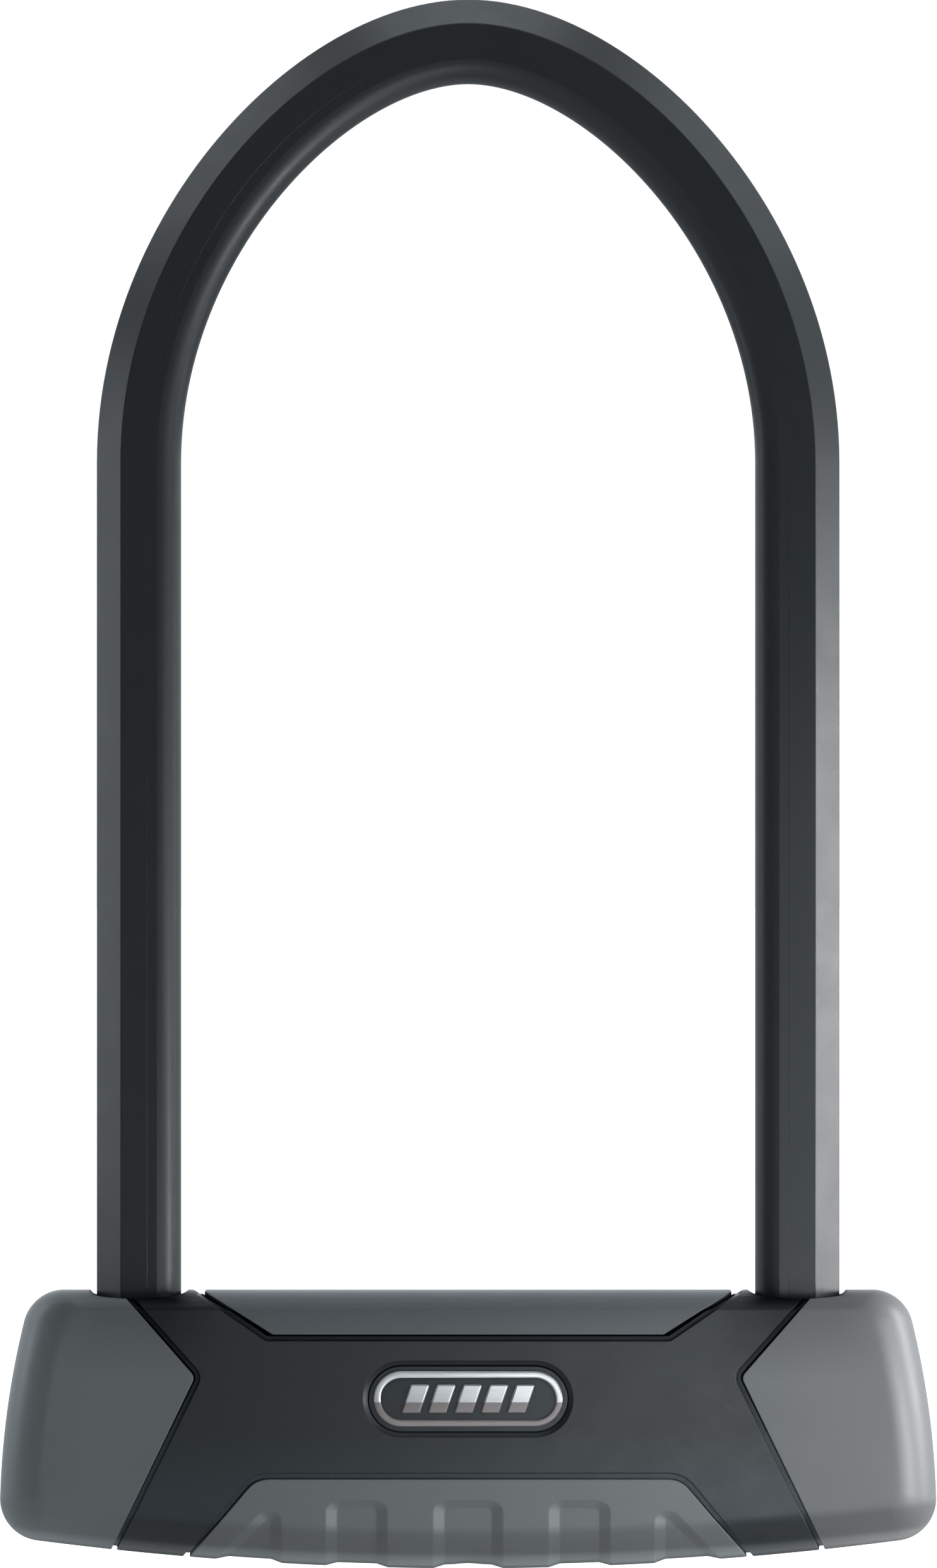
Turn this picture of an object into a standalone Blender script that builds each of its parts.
"""U lock: a parabolic square-bar shackle in a crossbar body with a disc cylinder and two bolts.

Frame: +X across the body, -Y is the front, +Z runs up the shackle. The origin is the
bottom centre of the body, on the axis of the cylinder. Dimensions are millimetres,
turned into metres when a mesh is made. A span is a (low, high) pair along one axis.
"""

import math

import bmesh
import bpy
from mathutils import Vector

MM = 0.001
FAR = 100.0                # beyond every face of the body, for open-ended cuts
THROUGH = (-FAR, FAR)
SIDES = (("left", -1), ("right", 1))

# ---------------------------------------------------------------- body envelope
BODY_DEPTH = 35.0          # front face to back face
FACE_Y = -BODY_DEPTH / 2   # front face
BODY_TOP = 52.7            # height of the flat top
SIDE_R = 160.0             # long convex arc of each end, seen from the front
SIDE_X = 88.98             # widest half width
SIDE_Z = 8.7               # height of the widest point
BOTTOM_R = 636.0           # very flat arc of the underside
TOP_CORNER_R = 7.5
BOTTOM_CORNER_R = 8.0
FACE_TOP_R = 3.0           # corners of the flat front and back faces
FACE_BOTTOM_R = 1.5
EDGE_SOFT = 8.0            # rounding of the ends and the underside towards the faces
EDGE_TOP = 3.7             # rounding of the top towards the faces
EDGE_TOP_MIN = 0.3         # least rounding of the top on an inset envelope
EDGE_DEPTH_EXTRA = 0.4     # how much deeper than EDGE_SOFT the rounding may reach

# ---------------------------------------------------------------- layers of the body
PANEL_T = 2.0              # thickness of caps, inlay and grip
FIT = 0.3                  # gap between neighbouring pieces
GROOVE_FLOOR = 0.7         # depth of the visible joints between panels
CASING_T = 1.3             # casing wall below the panels
CASING_OUT = PANEL_T + FIT
CASING_IN = CASING_OUT + CASING_T
LEDGE = 0.85               # casing ledge that closes the joint between panels

# ---------------------------------------------------------------- shackle
LEG_X = 62.57              # half distance between the centre lines of the legs
LEG_TOP = 210.09           # the legs are straight up to here
ARCH_TOP = 290.1           # centre line at the top of the bow
ARCH_H1 = 43.81            # upright handle of the bow's curve, at the leg
ARCH_H2 = 27.12            # level handle, at the top of the bow
ARCH_STEPS = 15            # per half of the bow
COATED = 16.0              # side of the coated square bar
COATING = 1.5              # thickness of the coating
BAR_HALF = COATED / 2 - COATING
CHAMFER = 4.6              # outer chamfers and inner roundings of the coating
CHAMFER_STEPS = 3
SLEEVE_OVERLAP = 0.15      # how far the sleeve reaches into the bar
SLEEVE_END = 50.0
RELIEF_Z = (54.2, 55.0)    # between these heights the slim end grows to full size
END_RELIEF = 0.12          # how much slimmer the coating is where it enters the body
FOOT_END = 20.0
FOOT_TAPER = 1.1           # inward slope of the foot over its lowest part
FOOT_TAPER_H = 1.4
NOTCH_DEPTH = 5.0
NOTCH_OVERSHOOT = 3.0
NOTCH_FIT = 0.5            # above and below the bolt
LEG_FIT = 0.35             # gap round a leg where it passes through a wall
LEG_HOLE_Z = 40.0          # casing and caps are cut from here up

# ---------------------------------------------------------------- steel body
TUBE_X = 77.2
TUBE_Y = 13.6
TUBE_Z0 = 8.8
TUBE_Z1 = 48.6
TUBE_WALL = 3.0
TUBE_EDGE = 5.4            # lower corner radius
TUBE_TOP_EDGE = 2.4
TUBE_EDGE_MIN = 0.6
FLOOR_Z = TUBE_Z0 + TUBE_WALL  # inside of the tube's lower wall

# ---------------------------------------------------------------- bolts
PIN_R = 1.5
PIN_START = 3.2            # distance of the follower pins from the axis at rest
BOLT_TRAVEL = 4.5          # over a quarter turn of the rotor
BOLT_Z0 = 36.6
BOLT_Z1 = 44.6
BOLT_TIP = 55.6


# ================================================================ helpers
def solid_from(bm):
    """An object from a bmesh in millimetres."""
    bmesh.ops.recalc_face_normals(bm, faces=bm.faces)
    for vert in bm.verts:
        vert.co *= MM
    mesh = bpy.data.meshes.new("solid")
    bm.to_mesh(mesh)
    bm.free()
    return link_object(mesh)


def link_object(mesh):
    piece = bpy.data.objects.new("solid", mesh)
    bpy.context.scene.collection.objects.link(piece)
    return piece


def discard(piece):
    mesh = piece.data
    bpy.data.objects.remove(piece, do_unlink=True)
    bpy.data.meshes.remove(mesh)


def finish(piece, name, surface):
    """Names a finished piece and gives it its only material."""
    piece.name = name
    piece.data.name = name
    piece.data.materials.clear()
    piece.data.materials.append(surface)


def combine(piece, tool, operation, keep_tool=False):
    """Exact boolean of piece with tool. The tool is used up unless kept."""
    step = piece.modifiers.new("shape", "BOOLEAN")
    step.operation = operation
    step.object = tool
    step.solver = "EXACT"
    bpy.context.view_layer.update()
    graph = bpy.context.evaluated_depsgraph_get()
    mesh = bpy.data.meshes.new_from_object(piece.evaluated_get(graph))
    piece.modifiers.clear()
    before = piece.data
    piece.data = mesh
    bpy.data.meshes.remove(before)
    if not keep_tool:
        discard(tool)


def subtract(piece, tool, keep_tool=False):
    combine(piece, tool, "DIFFERENCE", keep_tool)


def unite(piece, tool):
    combine(piece, tool, "UNION")


def intersect(piece, tool):
    combine(piece, tool, "INTERSECT")


def side_span(side, inner, outer):
    """The X span between two distances from the middle, on side -1 or +1."""
    return tuple(sorted((side * inner, side * outer)))


def prism(outline, axis, span):
    """Extrudes an outline of (y, z), (x, z) or (x, y) points along X, Y or Z."""
    def at(point, along):
        if axis == "Y":
            return Vector((point[0], along, point[1]))
        if axis == "Z":
            return Vector((point[0], point[1], along))
        return Vector((along, point[0], point[1]))

    bm = bmesh.new()
    low, high = ([bm.verts.new(at(point, along)) for point in outline] for along in span)
    skin(bm, [low, high])
    bm.faces.new(list(reversed(low)))
    bm.faces.new(high)
    return solid_from(bm)


def skin(bm, rings):
    """Quads between each closed ring of vertices and the next."""
    count = len(rings[0])
    for one, two in zip(rings, rings[1:]):
        for i in range(count):
            j = (i + 1) % count
            bm.faces.new((one[i], one[j], two[j], two[i]))


def box(x_span, y_span, z_span):
    (x0, x1), (y0, y1) = x_span, y_span
    return prism([(x0, y0), (x1, y0), (x1, y1), (x0, y1)], "Z", z_span)


def rod(radius, span, axis="Z", at=(0.0, 0.0), sides=32, turn=0.0):
    angles = [turn + 2 * math.pi * i / sides for i in range(sides)]
    outline = [(at[0] + radius * math.cos(a), at[1] + radius * math.sin(a)) for a in angles]
    return prism(outline, axis, span)


def arc(centre, radius, start, end, steps, last=True):
    """Points on an arc; its final point is left out unless last is set."""
    angles = [start + (end - start) * i / steps for i in range(steps + (1 if last else 0))]
    return [(centre[0] + radius * math.cos(a), centre[1] + radius * math.sin(a)) for a in angles]


def stadium(length, height, cx, cz, steps=8):
    """A level bar outline with half-round ends."""
    radius = height / 2
    reach = length / 2 - radius
    quarter = math.pi / 2
    return (arc((cx + reach, cz), radius, -quarter, quarter, steps)
            + arc((cx - reach, cz), radius, quarter, 3 * quarter, steps))


def rounded(corners, steps=6):
    """A closed outline from (x, y, radius) corners."""
    outline = []
    count = len(corners)
    for i in range(count):
        corner = Vector(corners[i][:2])
        radius = corners[i][2]
        if radius <= 0.0:
            outline.append((corner.x, corner.y))
            continue
        back = (Vector(corners[i - 1][:2]) - corner).normalized()
        ahead = (Vector(corners[(i + 1) % count][:2]) - corner).normalized()
        half = math.acos(max(-1.0, min(1.0, back.dot(ahead)))) / 2
        reach = radius / math.tan(half)
        centre = corner + (back + ahead).normalized() * (radius / math.sin(half))
        start = corner + back * reach - centre
        end = corner + ahead * reach - centre
        turn = start.angle_signed(end)
        for k in range(steps + 1):
            angle = -turn * k / steps
            c, s = math.cos(angle), math.sin(angle)
            outline.append((centre.x + start.x * c - start.y * s,
                            centre.y + start.x * s + start.y * c))
    return outline


def grown(corners, by):
    """The same (x, z, radius) corners with every side moved outward by a distance."""
    count = len(corners)
    area = sum(corners[i - 1][0] * corners[i][1] - corners[i][0] * corners[i - 1][1]
               for i in range(count))
    winding = 1.0 if area > 0 else -1.0
    lines = []
    for i in range(count):
        start, end = Vector(corners[i][:2]), Vector(corners[(i + 1) % count][:2])
        along = (end - start).normalized()
        outward = Vector((along.y, -along.x)) * winding
        lines.append((start + outward * by, along))
    result = []
    for i in range(count):
        (p, d), (q, e) = lines[i - 1], lines[i]
        cross = d.x * e.y - d.y * e.x
        gap = q - p
        corner = p + d * ((gap.x * e.y - gap.y * e.x) / cross)
        convex = cross * winding > 0
        radius = corners[i][2]
        if radius > 0:
            radius = max(radius + (by if convex else -by), 0.1)
        result.append((corner.x, corner.y, radius))
    return result


def mirrored(chain):
    """Closes a chain of right-hand corners with its mirror image."""
    return chain + [(-x, z, radius) for x, z, radius in reversed(chain)]


def meet(c1, r1, c2, r2):
    """The crossing of two circles that lies further right and lower."""
    distance = math.hypot(c2[0] - c1[0], c2[1] - c1[1])
    along = (r1 * r1 - r2 * r2 + distance * distance) / (2 * distance)
    off = math.sqrt(max(r1 * r1 - along * along, 0.0))
    ux, uz = (c2[0] - c1[0]) / distance, (c2[1] - c1[1]) / distance
    one = (c1[0] + along * ux - off * uz, c1[1] + along * uz + off * ux)
    two = (c1[0] + along * ux + off * uz, c1[1] + along * uz - off * ux)
    return max((one, two), key=lambda p: p[0] - p[1])


def silhouette(inset, top_inset, top_r, bottom_r, fine=1):
    """Front outline of the body, its ends and underside moved in by inset."""
    low_c, low_r = (0.0, BOTTOM_R), BOTTOM_R - inset
    end_c, end_r = (SIDE_X - SIDE_R, SIDE_Z), SIDE_R - inset
    bottom_c = meet(low_c, low_r - bottom_r, end_c, end_r - bottom_r)
    top_z = BODY_TOP - top_inset - top_r
    top_x = end_c[0] + math.sqrt((end_r - top_r) ** 2 - (top_z - end_c[1]) ** 2)
    low_angle = math.atan2(bottom_c[1] - low_c[1], bottom_c[0] - low_c[0])
    end_start = math.atan2(bottom_c[1] - end_c[1], bottom_c[0] - end_c[0])
    end_stop = math.atan2(top_z - end_c[1], top_x - end_c[0])
    half = arc(low_c, low_r, -math.pi / 2, low_angle, 5 * fine, last=False)[1:]
    half += arc(bottom_c, bottom_r, low_angle, end_start, 4 * fine, last=False)
    half += arc(end_c, end_r, end_start, end_stop, 4 * fine, last=False)
    half += arc((top_x, top_z), top_r, end_stop, math.pi / 2, 4 * fine)
    return [(0.0, inset)] + half + [(-x, z) for x, z in reversed(half)]


def body_solid(inset, fine=1, rings=4):
    """The soft-edged envelope of the body, moved in by inset all round."""
    outer = silhouette(inset, inset, TOP_CORNER_R - inset, BOTTOM_CORNER_R - inset, fine)
    top_inset = max(EDGE_TOP, inset + EDGE_TOP_MIN)
    face = silhouette(EDGE_SOFT, top_inset, FACE_TOP_R, FACE_BOTTOM_R, fine)
    half_depth = BODY_DEPTH / 2 - inset
    max_depth = EDGE_SOFT + EDGE_DEPTH_EXTRA - inset
    bm = bmesh.new()
    loops = []
    for facing in (-1.0, 1.0):
        row = []
        for k in range(rings + 1):
            angle = math.pi / 2 * k / rings
            c, s = math.cos(angle), math.sin(angle)
            verts = []
            for (x, z), (fx, fz) in zip(outer, face):
                depth = min(math.hypot(x - fx, z - fz), max_depth)
                y = facing * (half_depth - depth + depth * s)
                verts.append(bm.verts.new((fx + (x - fx) * c, y, fz + (z - fz) * c)))
            row.append(verts)
        loops.append(row)
    chain = list(reversed(loops[0])) + loops[1]
    skin(bm, chain)
    bm.faces.new(chain[0])
    bm.faces.new(chain[-1])
    return solid_from(bm)


def material(name, colour, roughness, metallic):
    surface = bpy.data.materials.new(name)
    surface.use_nodes = True
    shader = surface.node_tree.nodes["Principled BSDF"]
    shader.inputs["Base Color"].default_value = (*colour, 1.0)
    shader.inputs["Roughness"].default_value = roughness
    shader.inputs["Metallic"].default_value = metallic
    surface.diffuse_color = (*colour, 1.0)
    return surface


for old in list(bpy.data.objects):
    bpy.data.objects.remove(old, do_unlink=True)

COATING_BLACK = material(
    "sleeve_coating", colour=(0.030, 0.036, 0.039), roughness=0.45, metallic=0.0)
CASING_BLACK = material(
    "casing_dark", colour=(0.032, 0.038, 0.042), roughness=0.42, metallic=0.0)
CAP_GREY = material("panel_grey", colour=(0.115, 0.125, 0.128), roughness=0.5, metallic=0.2)
STEEL = material("hardened_steel", colour=(0.42, 0.42, 0.43), roughness=0.38, metallic=1.0)
ZINC = material("zinc_plated", colour=(0.60, 0.61, 0.62), roughness=0.35, metallic=1.0)
BRASS = material("brass", colour=(0.72, 0.53, 0.25), roughness=0.35, metallic=1.0)
CHROME = material("badge_chrome", colour=(0.80, 0.81, 0.82), roughness=0.12, metallic=1.0)
BADGE_DARK = material("badge_dark", colour=(0.035, 0.040, 0.044), roughness=0.3, metallic=0.0)
RUBBER = material("seal_rubber", colour=(0.02, 0.02, 0.02), roughness=0.8, metallic=0.0)


# ================================================================ shackle
def bar_section(grow):
    """Section of the coated bar, (outward, depth) from its centre line, grown by a distance."""
    half = COATED / 2
    flat = half - CHAMFER
    k = grow * math.tan(math.radians(22.5))
    points = [(half + grow, -flat - k), (half + grow, flat + k),
              (flat + k, half + grow), (-flat, half + grow)]
    radius = CHAMFER + grow
    angles = [math.pi / 2 * i / CHAMFER_STEPS for i in range(CHAMFER_STEPS + 1)]
    points += [(-flat - radius * math.sin(a), flat + radius * math.cos(a)) for a in angles[1:]]
    points += [(-flat - radius * math.cos(a), -flat - radius * math.sin(a)) for a in angles]
    points.append((flat + k, -half - grow))
    return points


def leg_prism(side, grow, z_span):
    outline = [(side * (LEG_X + out), depth) for out, depth in bar_section(grow)]
    return prism(outline, "Z", z_span)


def bow(leg_heights):
    """Stations along the bow, right leg to left leg: (centre, outward direction)."""
    right = [(Vector((LEG_X, 0, z)), Vector((1, 0, 0))) for z in leg_heights]
    p = [Vector((LEG_X, 0, LEG_TOP)), Vector((LEG_X, 0, LEG_TOP + ARCH_H1)),
         Vector((ARCH_H2, 0, ARCH_TOP)), Vector((0, 0, ARCH_TOP))]
    for i in range(ARCH_STEPS + 1):
        t = i / ARCH_STEPS
        u = 1 - t
        centre = p[0] * u ** 3 + p[1] * 3 * u * u * t + p[2] * 3 * u * t * t + p[3] * t ** 3
        along = (p[1] - p[0]) * u * u + (p[2] - p[1]) * 2 * u * t + (p[3] - p[2]) * t * t
        along.normalize()
        right.append((centre, Vector((along.z, 0, -along.x))))
    left = [(Vector((-c.x, 0, c.z)), Vector((-o.x, 0, o.z))) for c, o in reversed(right[:-1])]
    return right + left


def bow_rings(bm, stations, grow, end_grow=0.0, end_count=0):
    """A ring per station; the first and last end_count of them take end_grow."""
    rings = []
    for k, (centre, outward) in enumerate(stations):
        at_end = min(k, len(stations) - 1 - k) < end_count
        outline = bar_section(end_grow if at_end else grow)
        rings.append([bm.verts.new(centre + outward * out + Vector((0, 1, 0)) * depth)
                      for out, depth in outline])
    return rings


def build_sleeve():
    """Coating of the bar: a tube, slimmer at its ends where they enter the body."""
    bm = bmesh.new()
    stations = bow([SLEEVE_END, *RELIEF_Z])
    outer = bow_rings(bm, stations, 0.0, end_grow=-END_RELIEF, end_count=2)
    inner = bow_rings(bm, stations, -COATING + SLEEVE_OVERLAP)
    skin(bm, outer)
    skin(bm, [list(reversed(ring)) for ring in inner])
    for k in (0, -1):
        skin(bm, [outer[k], inner[k]])
    finish(solid_from(bm), "shackle_sleeve", COATING_BLACK)


def build_bar():
    """Hardened bar with tapered feet and a bolt notch in the inner side of each leg."""
    bm = bmesh.new()
    stations = bow([FOOT_END, FOOT_END + FOOT_TAPER_H])
    rings = bow_rings(bm, stations, -COATING, end_grow=-COATING - FOOT_TAPER, end_count=1)
    skin(bm, rings)
    bm.faces.new(list(reversed(rings[0])))
    bm.faces.new(rings[-1])
    bar = solid_from(bm)
    inner_face = LEG_X - BAR_HALF
    for _, side in SIDES:
        x_span = side_span(side, inner_face - NOTCH_OVERSHOOT, inner_face + NOTCH_DEPTH)
        subtract(bar, box(x_span, THROUGH, (BOLT_Z0 - NOTCH_FIT, BOLT_Z1 + NOTCH_FIT)))
    finish(bar, "shackle_bar", STEEL)


build_sleeve()
build_bar()

# ================================================================ panels
# Outlines seen from the front: (x, z, corner radius). Points above 52.7 or below 0
# lie outside the body.
LAND = mirrored([           # raised X-shaped part of the casing between the panels
    (38.35, 43.33, 1.6),
    (54.05, 54.0, 0.0),
    (65.70, 54.0, 0.0),
    (50.39, 36.74, 2.6),
    (69.40, -2.0, 0.0),
    (57.61, -2.0, 0.0),
    (40.93, 18.18, 6.3),
])
CAP = [
    (67.15, 54.0, 0.0), (95.0, 54.0, 0.0), (95.0, -5.0, 0.0),
    (71.89, -5.0, 0.0), (51.80, 36.46, 1.6),
]
INLAY = [(-52.04, 54.0, 0.0), (-37.09, 44.48, 0.6), (37.09, 44.48, 0.6), (52.04, 54.0, 0.0)]
GRIP = [(-40.22, 17.03, 5.2), (40.22, 17.03, 5.2), (56.49, -2.0, 0.0), (-56.49, -2.0, 0.0)]

GROOVE_PITCH = 21.15
GROOVE_HALF = 4.8          # half width of the two grooves beside the middle
MIDDLE_GROOVE_HALF = GROOVE_HALF + 0.8
GROOVE_TOP = 12.3
GROOVE_LOW = -3.0          # below the underside
GROOVE_R = 1.5
END_GROOVE_X = (36.5, 38.2, 50.7)  # inner side, outer top corner, outer bottom corner
END_GROOVE_R = 0.9
GRIP_HOLE_R = 8.6          # round the escutcheon


def hollow_panel(solid, outline, low=-FAR):
    """Keeps the panel thickness of a body envelope within an outline."""
    intersect(solid, prism(outline, "Y", THROUGH))
    subtract(solid, body_solid(PANEL_T, rings=3))
    return solid


for label, side in SIDES:
    cap = hollow_panel(body_solid(0.0), [(side * x, z) for x, z in rounded(CAP)])
    subtract(cap, leg_prism(side, LEG_FIT, (LEG_HOLE_Z, FAR)))
    finish(cap, "end_cap_" + label, CAP_GREY)

finish(hollow_panel(body_solid(0.0), rounded(INLAY, 3)), "top_inlay", CAP_GREY)


def grip_grooves():
    """Corners of the five grooves: three upright ones and a slanted one at each end."""
    grooves = []
    for x, half in ((-GROOVE_PITCH, GROOVE_HALF), (0.0, MIDDLE_GROOVE_HALF),
                    (GROOVE_PITCH, GROOVE_HALF)):
        grooves.append([(x - half, GROOVE_LOW, 0), (x - half, GROOVE_TOP, GROOVE_R),
                        (x + half, GROOVE_TOP, GROOVE_R), (x + half, GROOVE_LOW, 0)])
    inner, outer_top, outer_low = END_GROOVE_X
    for _, side in SIDES:
        grooves.append([(side * inner, GROOVE_LOW, 0),
                        (side * inner, GROOVE_TOP, END_GROOVE_R),
                        (side * outer_top, GROOVE_TOP, END_GROOVE_R),
                        (side * outer_low, GROOVE_LOW, 0)])
    return grooves


# bottom grip with finger grooves that run right round the lower edge
grip = body_solid(0.0, fine=2)
groove_floor = body_solid(GROOVE_FLOOR, fine=2)
for corners in grip_grooves():
    groove = prism(rounded(corners, 2), "Y", THROUGH)
    subtract(groove, groove_floor, keep_tool=True)
    subtract(grip, groove)
discard(groove_floor)
hollow_panel(grip, rounded(GRIP, 4))
subtract(grip, rod(GRIP_HOLE_R, THROUGH))
finish(grip, "bottom_grip", CAP_GREY)

# ================================================================ casing
SCREW_AT = (81.4, 27.0)    # |x| and z of a casing screw, beyond the end of the steel tube
BOSS_R = 2.6
BOSS_SINK = 0.5            # how far the boss ends lie below the casing's outer face
SPLIT_HALF = 0.15          # half the gap between front and rear casing
# opening under the cylinder for the key, its cover and its shutter
OPENING_X = (-13.4, 15.4)
OPENING_Y = (-13.2, 13.4)
OPENING_Z = ((-FAR, 7.0), (7.0, 8.4))

HEAD_POCKET_R = 2.1
HEAD_POCKET_Y = 12.6
SCREW_HOLE_R = 1.35
PILOT_Y = -10.5            # blind end of the hole in the front casing
SCREW_R = 1.2
SCREW_Y = (-9.5, 13.2)
SCREW_HEAD_R = 1.9
SCREW_HEAD_Y = (HEAD_POCKET_Y + FIT, 14.3)
SOCKET_R = 0.8
SOCKET_Y = 13.5

BADGE_Z = 32.3
BADGE_POCKET = (39.9, 14.5)  # length and height, as for the next three
BADGE_PLATE = (37.8, 12.5)
BADGE_RING = (35.9, 10.6)
BADGE_RING_HOLE = (33.1, 7.8)
POCKET_DEPTH = 1.3


def screw_rod(side, radius, y_span, sides=16):
    return rod(radius, y_span, "Y", (side * SCREW_AT[0], SCREW_AT[1]), sides)


def build_casing():
    """Raised land, ledge round it and carrier under the panels, hollow inside."""
    casing = body_solid(0.0)
    intersect(casing, prism(rounded(LAND), "Y", THROUGH))
    ledge = body_solid(GROOVE_FLOOR)
    intersect(ledge, prism(rounded(grown(LAND, LEDGE)), "Y", THROUGH))
    unite(casing, ledge)
    unite(casing, body_solid(CASING_OUT, rings=3))
    subtract(casing, body_solid(CASING_IN, rings=3))
    for _, side in SIDES:
        subtract(casing, leg_prism(side, LEG_FIT, (LEG_HOLE_Z, FAR)))
        boss = screw_rod(side, BOSS_R, THROUGH)
        intersect(boss, body_solid(CASING_OUT + BOSS_SINK))
        unite(casing, boss)
    for z_span in OPENING_Z:
        subtract(casing, box(OPENING_X, OPENING_Y, z_span))
    return casing


def casing_half(casing, y_span):
    half = link_object(casing.data.copy())
    intersect(half, box(THROUGH, y_span, THROUGH))
    return half


casing = build_casing()
front = casing_half(casing, (-FAR, -SPLIT_HALF))
rear = casing_half(casing, (SPLIT_HALF, FAR))
discard(casing)

subtract(front, prism(stadium(*BADGE_POCKET, 0, BADGE_Z), "Y", (-FAR, FACE_Y + POCKET_DEPTH)))
for label, side in SIDES:
    # the screw goes in from the rear
    subtract(rear, screw_rod(side, HEAD_POCKET_R, (HEAD_POCKET_Y, FAR)))
    subtract(rear, screw_rod(side, SCREW_HOLE_R, THROUGH))
    subtract(front, screw_rod(side, SCREW_HOLE_R, (PILOT_Y, FAR)))
    screw = screw_rod(side, SCREW_R, SCREW_Y)
    unite(screw, screw_rod(side, SCREW_HEAD_R, SCREW_HEAD_Y))
    subtract(screw, screw_rod(side, SOCKET_R, (SOCKET_Y, FAR), sides=6))
    finish(screw, "casing_screw_" + label, ZINC)
finish(front, "casing_front", CASING_BLACK)
finish(rear, "casing_rear", CASING_BLACK)

# ================================================================ badge
PLATE_Y = (FACE_Y + 0.4, FACE_Y + 1.2)
BADGE_BACK_Y = FACE_Y + 0.35  # back of ring and emblem
RING_FRONT_Y = FACE_Y + 0.05
STRIP_FRONT_Y = FACE_Y + 0.22
BAR_FRONT_Y = FACE_Y + 0.10
STRIP_HALF = 12.9          # the strip joins the feet of the slanted bars
STRIP_Z = (BADGE_Z - 2.7, BADGE_Z - 2.3)
BAR_COUNT = 5
BAR_PITCH = 5.0
BAR_FAR_X = 2.8            # a bar's acute corners from its centre
BAR_NEAR_X = 0.8           # its obtuse corners
BAR_HALF_H = 2.8
BAR_STEP = 0.001           # keeps the backs of the bars out of one plane

plate = prism(stadium(*BADGE_PLATE, 0, BADGE_Z), "Y", PLATE_Y)
finish(plate, "badge_plate", BADGE_DARK)

ring = prism(stadium(*BADGE_RING, 0, BADGE_Z), "Y", (RING_FRONT_Y, BADGE_BACK_Y))
subtract(ring, prism(stadium(*BADGE_RING_HOLE, 0, BADGE_Z), "Y", THROUGH))
finish(ring, "badge_ring", CHROME)

emblem = box((-STRIP_HALF, STRIP_HALF), (STRIP_FRONT_Y, BADGE_BACK_Y), STRIP_Z)
for k in range(BAR_COUNT):
    x = (k - BAR_COUNT // 2) * BAR_PITCH
    low, high = BADGE_Z - BAR_HALF_H, BADGE_Z + BAR_HALF_H
    slanted = [(x - BAR_FAR_X, low), (x + BAR_NEAR_X, low),
               (x + BAR_FAR_X, high), (x - BAR_NEAR_X, high)]
    unite(emblem, prism(slanted, "Y", (BAR_FRONT_Y, BADGE_BACK_Y + BAR_STEP * (k + 1))))
finish(emblem, "badge_emblem", CHROME)

# ================================================================ cylinder dimensions
HOUSING_R = 10.2
HOUSING_TOP = 32.0
BORE_R = 8.1
FLANGE_R = 12.5
FLANGE_Z0 = 5.5
KEY_MOUTH_R = 5.2
ROTOR_R = 7.8
ROTOR_BORE_R = 6.4
ROTOR_Z0 = 9.8
ROTOR_Z1 = 30.6
DISC_R = 6.1
DISC_T = 1.9
DISC_PITCH = 2.3
DISC_COUNT = 8
CAM_R = 10.2
CAM_HUB_R = 5.2
CAM_Z0 = 33.0
CAM_Z1 = 36.2
CAM_FLOOR = 34.0           # floor of the spiral grooves
PIN_GROOVE_FIT = 0.25

# ================================================================ steel body and bolts
TUBE_HOLE_Z = (-FAR, 14.0)  # hole for the cylinder in the lower wall
TUBE_LEG_HOLE_Z = 44.0     # the leg holes start here, inside the tube
PLUG_X = (71.2, 76.8)
PLUG_PIN_AT = (74.0, 28.7)  # |x| and z
PLUG_PIN_R = 1.5
PLUG_PIN_HOLE_R = 1.65
PLUG_PIN_Y = (-13.3, 13.3)
GUIDE_X = (46.8, 54.8)
GUIDE_SLOT_Y = (-5.3, 5.3)
PAD_X = (55.6, 70.6)
PAD_Y = (-7.6, 7.6)
SEAL_GROW = 0.12           # outside of the seal beyond the coated section
SEAL_FIT = 0.2
BOLT_HEAD_X = 38.0
BOLT_HEAD_HALF = 5.0
BOLT_BEVEL = 1.0
ARM_X = (0.8, 42.0)
ARM_Y = (-3.5, 3.5)
ARM_T = 3.2
BOLT_PIN_FIT = 0.12
BOLT_PIN_TOP = BOLT_Z0 + 3.8


def tube_outline(grow):
    """Section of the tube, (y, z), grown by a distance."""
    y, z0, z1 = TUBE_Y + grow, TUBE_Z0 - grow, TUBE_Z1 + grow
    low_r = max(TUBE_EDGE + grow, TUBE_EDGE_MIN)
    top_r = max(TUBE_TOP_EDGE + grow, TUBE_EDGE_MIN)
    return rounded([(-y, z0, low_r), (y, z0, low_r), (y, z1, top_r), (-y, z1, top_r)], 3)


def plug_rod(side, radius, y_span):
    return rod(radius, y_span, "Y", (side * PLUG_PIN_AT[0], PLUG_PIN_AT[1]), sides=12)


def tube_block(side, x_range):
    """A block that fits inside the tube."""
    return prism(tube_outline(-TUBE_WALL - FIT), "X", side_span(side, *x_range))


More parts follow.
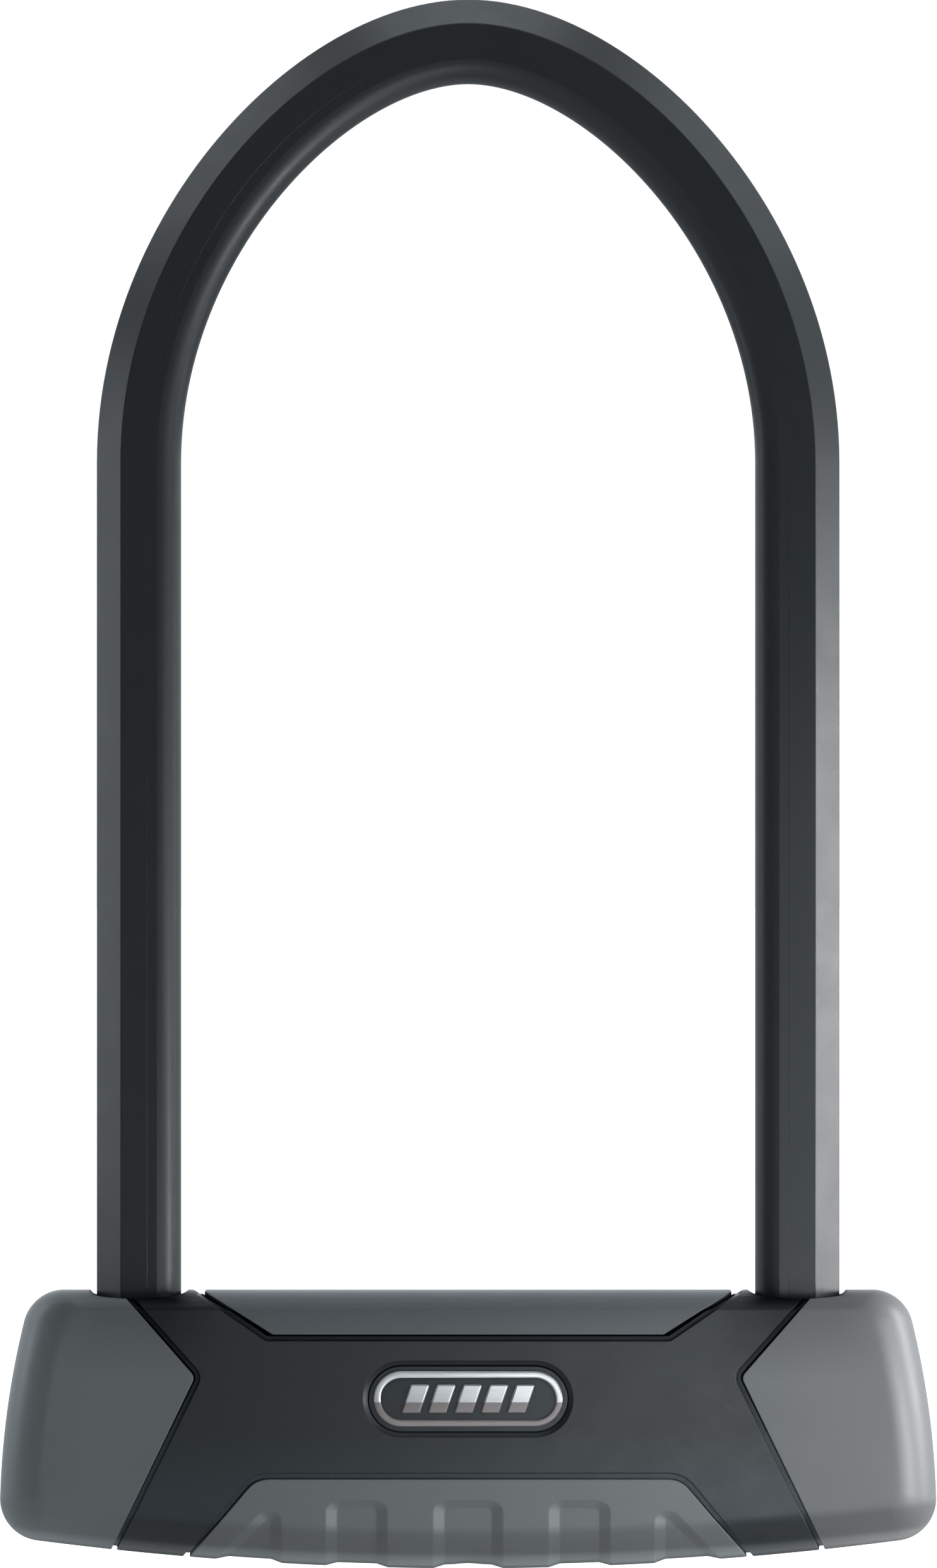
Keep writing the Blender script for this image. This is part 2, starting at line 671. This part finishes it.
def build_bolt(label, side):
    """Broad head by the foot, flat arm to the cam, and the follower pin."""
    half, bevelled = BOLT_HEAD_HALF, BOLT_HEAD_HALF - BOLT_BEVEL
    outline = [(BOLT_HEAD_X, -half), (BOLT_TIP - BOLT_BEVEL, -half), (BOLT_TIP, -bevelled),
               (BOLT_TIP, bevelled), (BOLT_TIP - BOLT_BEVEL, half), (BOLT_HEAD_X, half)]
    bolt = prism([(side * x, y) for x, y in outline], "Z", (BOLT_Z0, BOLT_Z1))
    unite(bolt, box(side_span(side, *ARM_X), ARM_Y, (BOLT_Z0, BOLT_Z0 + ARM_T)))
    pin_at = (side * PIN_START, 0)
    subtract(bolt, rod(PIN_R + BOLT_PIN_FIT, THROUGH, at=pin_at, sides=16))
    finish(bolt, "bolt_" + label, STEEL)
    pin = rod(PIN_R, (CAM_FLOOR + FIT, BOLT_PIN_TOP), at=pin_at, sides=16)
    finish(pin, "bolt_pin_" + label, ZINC)


tube = prism(tube_outline(0.0), "X", (-TUBE_X, TUBE_X))
subtract(tube, prism(tube_outline(-TUBE_WALL), "X", THROUGH))
subtract(tube, rod(HOUSING_R + FIT, TUBE_HOLE_Z))
for _, side in SIDES:
    subtract(tube, leg_prism(side, -COATING + LEG_FIT, (TUBE_LEG_HOLE_Z, FAR)))
    subtract(tube, plug_rod(side, PLUG_PIN_HOLE_R, THROUGH))
finish(tube, "body_tube", STEEL)

for label, side in SIDES:
    # plug that closes the end of the tube, pinned through
    plug = tube_block(side, PLUG_X)
    subtract(plug, plug_rod(side, PLUG_PIN_HOLE_R, THROUGH))
    finish(plug, "end_plug_" + label, STEEL)
    finish(plug_rod(side, PLUG_PIN_R, PLUG_PIN_Y), "end_plug_pin_" + label, ZINC)

    # guide block of the bolt, open at the top
    guide = tube_block(side, GUIDE_X)
    subtract(guide, box(THROUGH, GUIDE_SLOT_Y, (BOLT_Z0 - FIT, FAR)))
    finish(guide, "bolt_guide_" + label, ZINC)

    # rubber pad under the foot
    pad = box(side_span(side, *PAD_X), PAD_Y, (FLOOR_Z + FIT, FOOT_END - FIT))
    finish(pad, "foot_pad_" + label, RUBBER)

    # seal round the leg, just above the tube
    seal = leg_prism(side, SEAL_GROW, (TUBE_Z1 + FIT, SLEEVE_END - FIT))
    subtract(seal, leg_prism(side, -COATING + SEAL_FIT, THROUGH))
    finish(seal, "leg_seal_" + label, RUBBER)

    build_bolt(label, side)

# ================================================================ cylinder
# Boxes are X, Y and Z spans.
HOUSING_SLOT = ((-1.3, 1.3), (5.0, 9.2), (10.0, 28.6))
ROTOR_SLOT = ((-1.15, 1.15), (4.0, 12.0), (10.3, 28.3))
SIDEBAR = ((-0.9, 0.9), (5.15, 7.6), (10.6, 28.0))
ROTOR_TANG = ((-3.0, 3.0), (-3.0, 3.0), (ROTOR_Z1 - 0.5, 32.5))
TANG_SOCKET = ((-3.2, 3.2), (-3.2, 3.2), (-FAR, 32.8))
TRUE_GATE = ((-1.2, 1.2), (4.9, FAR), THROUGH)
KEYWAY = [(-3.9, -1.3), (3.2, -1.3), (3.9, -0.6), (3.9, 1.3), (-3.9, 1.3)]
ROTOR_CROWN = 2.0          # thickness of the closed upper end of the rotor
FALSE_GATE_R = 0.7
FALSE_GATE_AT = 6.2        # distance from the axis
FLANGE_TURN = 0.01         # keeps the flange's sides out of line with the housing's


def open_ring(name, outer_r, inner_r, z_span, mouth_half):
    """A snap ring: a flat ring with a mouth on its +Y side."""
    clip = rod(outer_r, z_span)
    subtract(clip, rod(inner_r, THROUGH))
    subtract(clip, box((-mouth_half, mouth_half), (0, FAR), THROUGH))
    finish(clip, name, ZINC)


def build_housing():
    """Flanged barrel with key mouth, bore, sidebar slot and clip groove."""
    housing = rod(HOUSING_R, (FLANGE_Z0 + 1.0, HOUSING_TOP))
    unite(housing, rod(FLANGE_R, (FLANGE_Z0, TUBE_Z0 - 0.4), turn=FLANGE_TURN))
    subtract(housing, rod(KEY_MOUTH_R, THROUGH, sides=24))
    subtract(housing, rod(BORE_R, (FLANGE_Z0 + 1.9, FAR)))
    subtract(housing, box(*HOUSING_SLOT))
    clip_groove = rod(HOUSING_R + 1, (FLOOR_Z + 0.3, FLOOR_Z + 1.5))
    subtract(clip_groove, rod(HOUSING_R - 0.9, THROUGH))
    subtract(housing, clip_groove)
    finish(housing, "cylinder_housing", BRASS)


def build_rotor():
    rotor = rod(ROTOR_R, (ROTOR_Z0, ROTOR_Z1))
    subtract(rotor, rod(ROTOR_BORE_R, (-FAR, ROTOR_Z1 - ROTOR_CROWN)))
    subtract(rotor, box(*ROTOR_SLOT))
    unite(rotor, box(*ROTOR_TANG))
    finish(rotor, "rotor", BRASS)


def build_disc(k):
    """True gate for the sidebar, and a false gate at an angle that differs from disc to disc."""
    z0 = ROTOR_Z0 + 0.25 + k * DISC_PITCH
    disc = rod(DISC_R, (z0, z0 + DISC_T), sides=24)
    subtract(disc, prism(KEYWAY, "Z", THROUGH))
    subtract(disc, box(*TRUE_GATE))
    angle = math.radians(200 + 17 * ((k * 5) % 8))
    gate_at = (FALSE_GATE_AT * math.cos(angle), FALSE_GATE_AT * math.sin(angle))
    subtract(disc, rod(FALSE_GATE_R, THROUGH, at=gate_at, sides=8))
    finish(disc, "lock_disc_%d" % (k + 1), BRASS)


def spiral_groove(start, steps=10, cap_steps=6):
    """Path of a follower pin in the cam, pin at angle start when the cam is at rest."""
    half = PIN_R + PIN_GROOVE_FIT
    rate = BOLT_TRAVEL / (math.pi / 2)
    path = []
    for i in range(steps + 1):
        turn = math.pi / 2 * i / steps
        radius = PIN_START + rate * turn
        c, s = math.cos(start - turn), math.sin(start - turn)
        along = Vector((rate * c + radius * s, rate * s - radius * c)).normalized()
        path.append((Vector((radius * c, radius * s)), along, Vector((-along.y, along.x))))

    def end_cap(station, sign):
        point, along, across = station
        angles = [math.pi * k / cap_steps for k in range(1, cap_steps)]
        return [point + across * (sign * half * math.cos(a)) + along * (sign * half * math.sin(a))
                for a in angles]

    left = [point + across * half for point, _, across in path]
    right = [point - across * half for point, _, across in reversed(path)]
    outline = left + end_cap(path[-1], 1) + right + end_cap(path[0], -1)
    return [(q.x, q.y) for q in outline]


def build_cam():
    cam = rod(CAM_R, (CAM_Z0, CAM_Z1))
    unite(cam, rod(CAM_HUB_R, (CAM_Z0 - 1.8, CAM_Z0 + 0.5), sides=24))
    subtract(cam, box(*TANG_SOCKET))
    for start in (0.0, math.pi):
        subtract(cam, prism(spiral_groove(start), "Z", (CAM_FLOOR, FAR)))
    finish(cam, "cam_disc", STEEL)


build_housing()
open_ring("cylinder_clip", HOUSING_R + 0.3, HOUSING_R - 0.7,
          (FLOOR_Z + 0.45, FLOOR_Z + 1.35), mouth_half=2.5)

anti_drill = rod(ROTOR_R, (FLANGE_Z0 + 2.1, ROTOR_Z0 - FIT))
subtract(anti_drill, prism(KEYWAY, "Z", THROUGH))
finish(anti_drill, "anti_drill_disc", STEEL)

build_rotor()
for k in range(DISC_COUNT):
    build_disc(k)
finish(box(*SIDEBAR), "sidebar", STEEL)
open_ring("rotor_clip", BORE_R - 0.2, 6.0, (ROTOR_Z1 + 0.2, ROTOR_Z1 + 1.0), mouth_half=2.0)
build_cam()

# ================================================================ key entry in the underside
PIVOT_AT = (10.5, 0)
PIVOT_R = 1.0
PIVOT_Z = (2.85, 5.3)
PIVOT_FIT = 0.12
PIVOT_HOLE_Z = 2.7         # blind end of the hole in the escutcheon
ESCUTCHEON_R = 8.2
ESCUTCHEON_Z = (0.75, 2.6)
ESCUTCHEON_BASE = ((-12.8, 14.8), (-8.9, 8.9), (2.35, 3.3))  # X, Y and Z spans
KEYHOLE = [(-4.3, -1.7, 0.6), (4.3, -1.7, 0.6), (4.3, 1.7, 0.6), (-4.3, 1.7, 0.6)]
SHUTTER_END_X = PIVOT_AT[0] + 2.2
SHUTTER = [                # (x, y, corner radius)
    (-5.4, -2.3, 1.2), (PIVOT_AT[0], -2.3, 0), (SHUTTER_END_X, -1.2, 0),
    (SHUTTER_END_X, 1.2, 0), (PIVOT_AT[0], 2.3, 0), (-5.4, 2.3, 1.2),
]
SHUTTER_Z = (3.6, 4.9)


def pivot_rod(radius, z_span):
    return rod(radius, z_span, at=PIVOT_AT, sides=12)


escutcheon = rod(ESCUTCHEON_R, ESCUTCHEON_Z)
unite(escutcheon, box(*ESCUTCHEON_BASE))
subtract(escutcheon, prism(rounded(KEYHOLE, 3), "Z", THROUGH))
subtract(escutcheon, pivot_rod(PIVOT_R + PIVOT_FIT, (PIVOT_HOLE_Z, FAR)))
finish(escutcheon, "keyhole_escutcheon", CASING_BLACK)

finish(pivot_rod(PIVOT_R, PIVOT_Z), "shutter_pivot_pin", ZINC)

shutter = prism(rounded(SHUTTER, 3), "Z", SHUTTER_Z)
subtract(shutter, pivot_rod(PIVOT_R + PIVOT_FIT, THROUGH))
finish(shutter, "keyhole_shutter", ZINC)
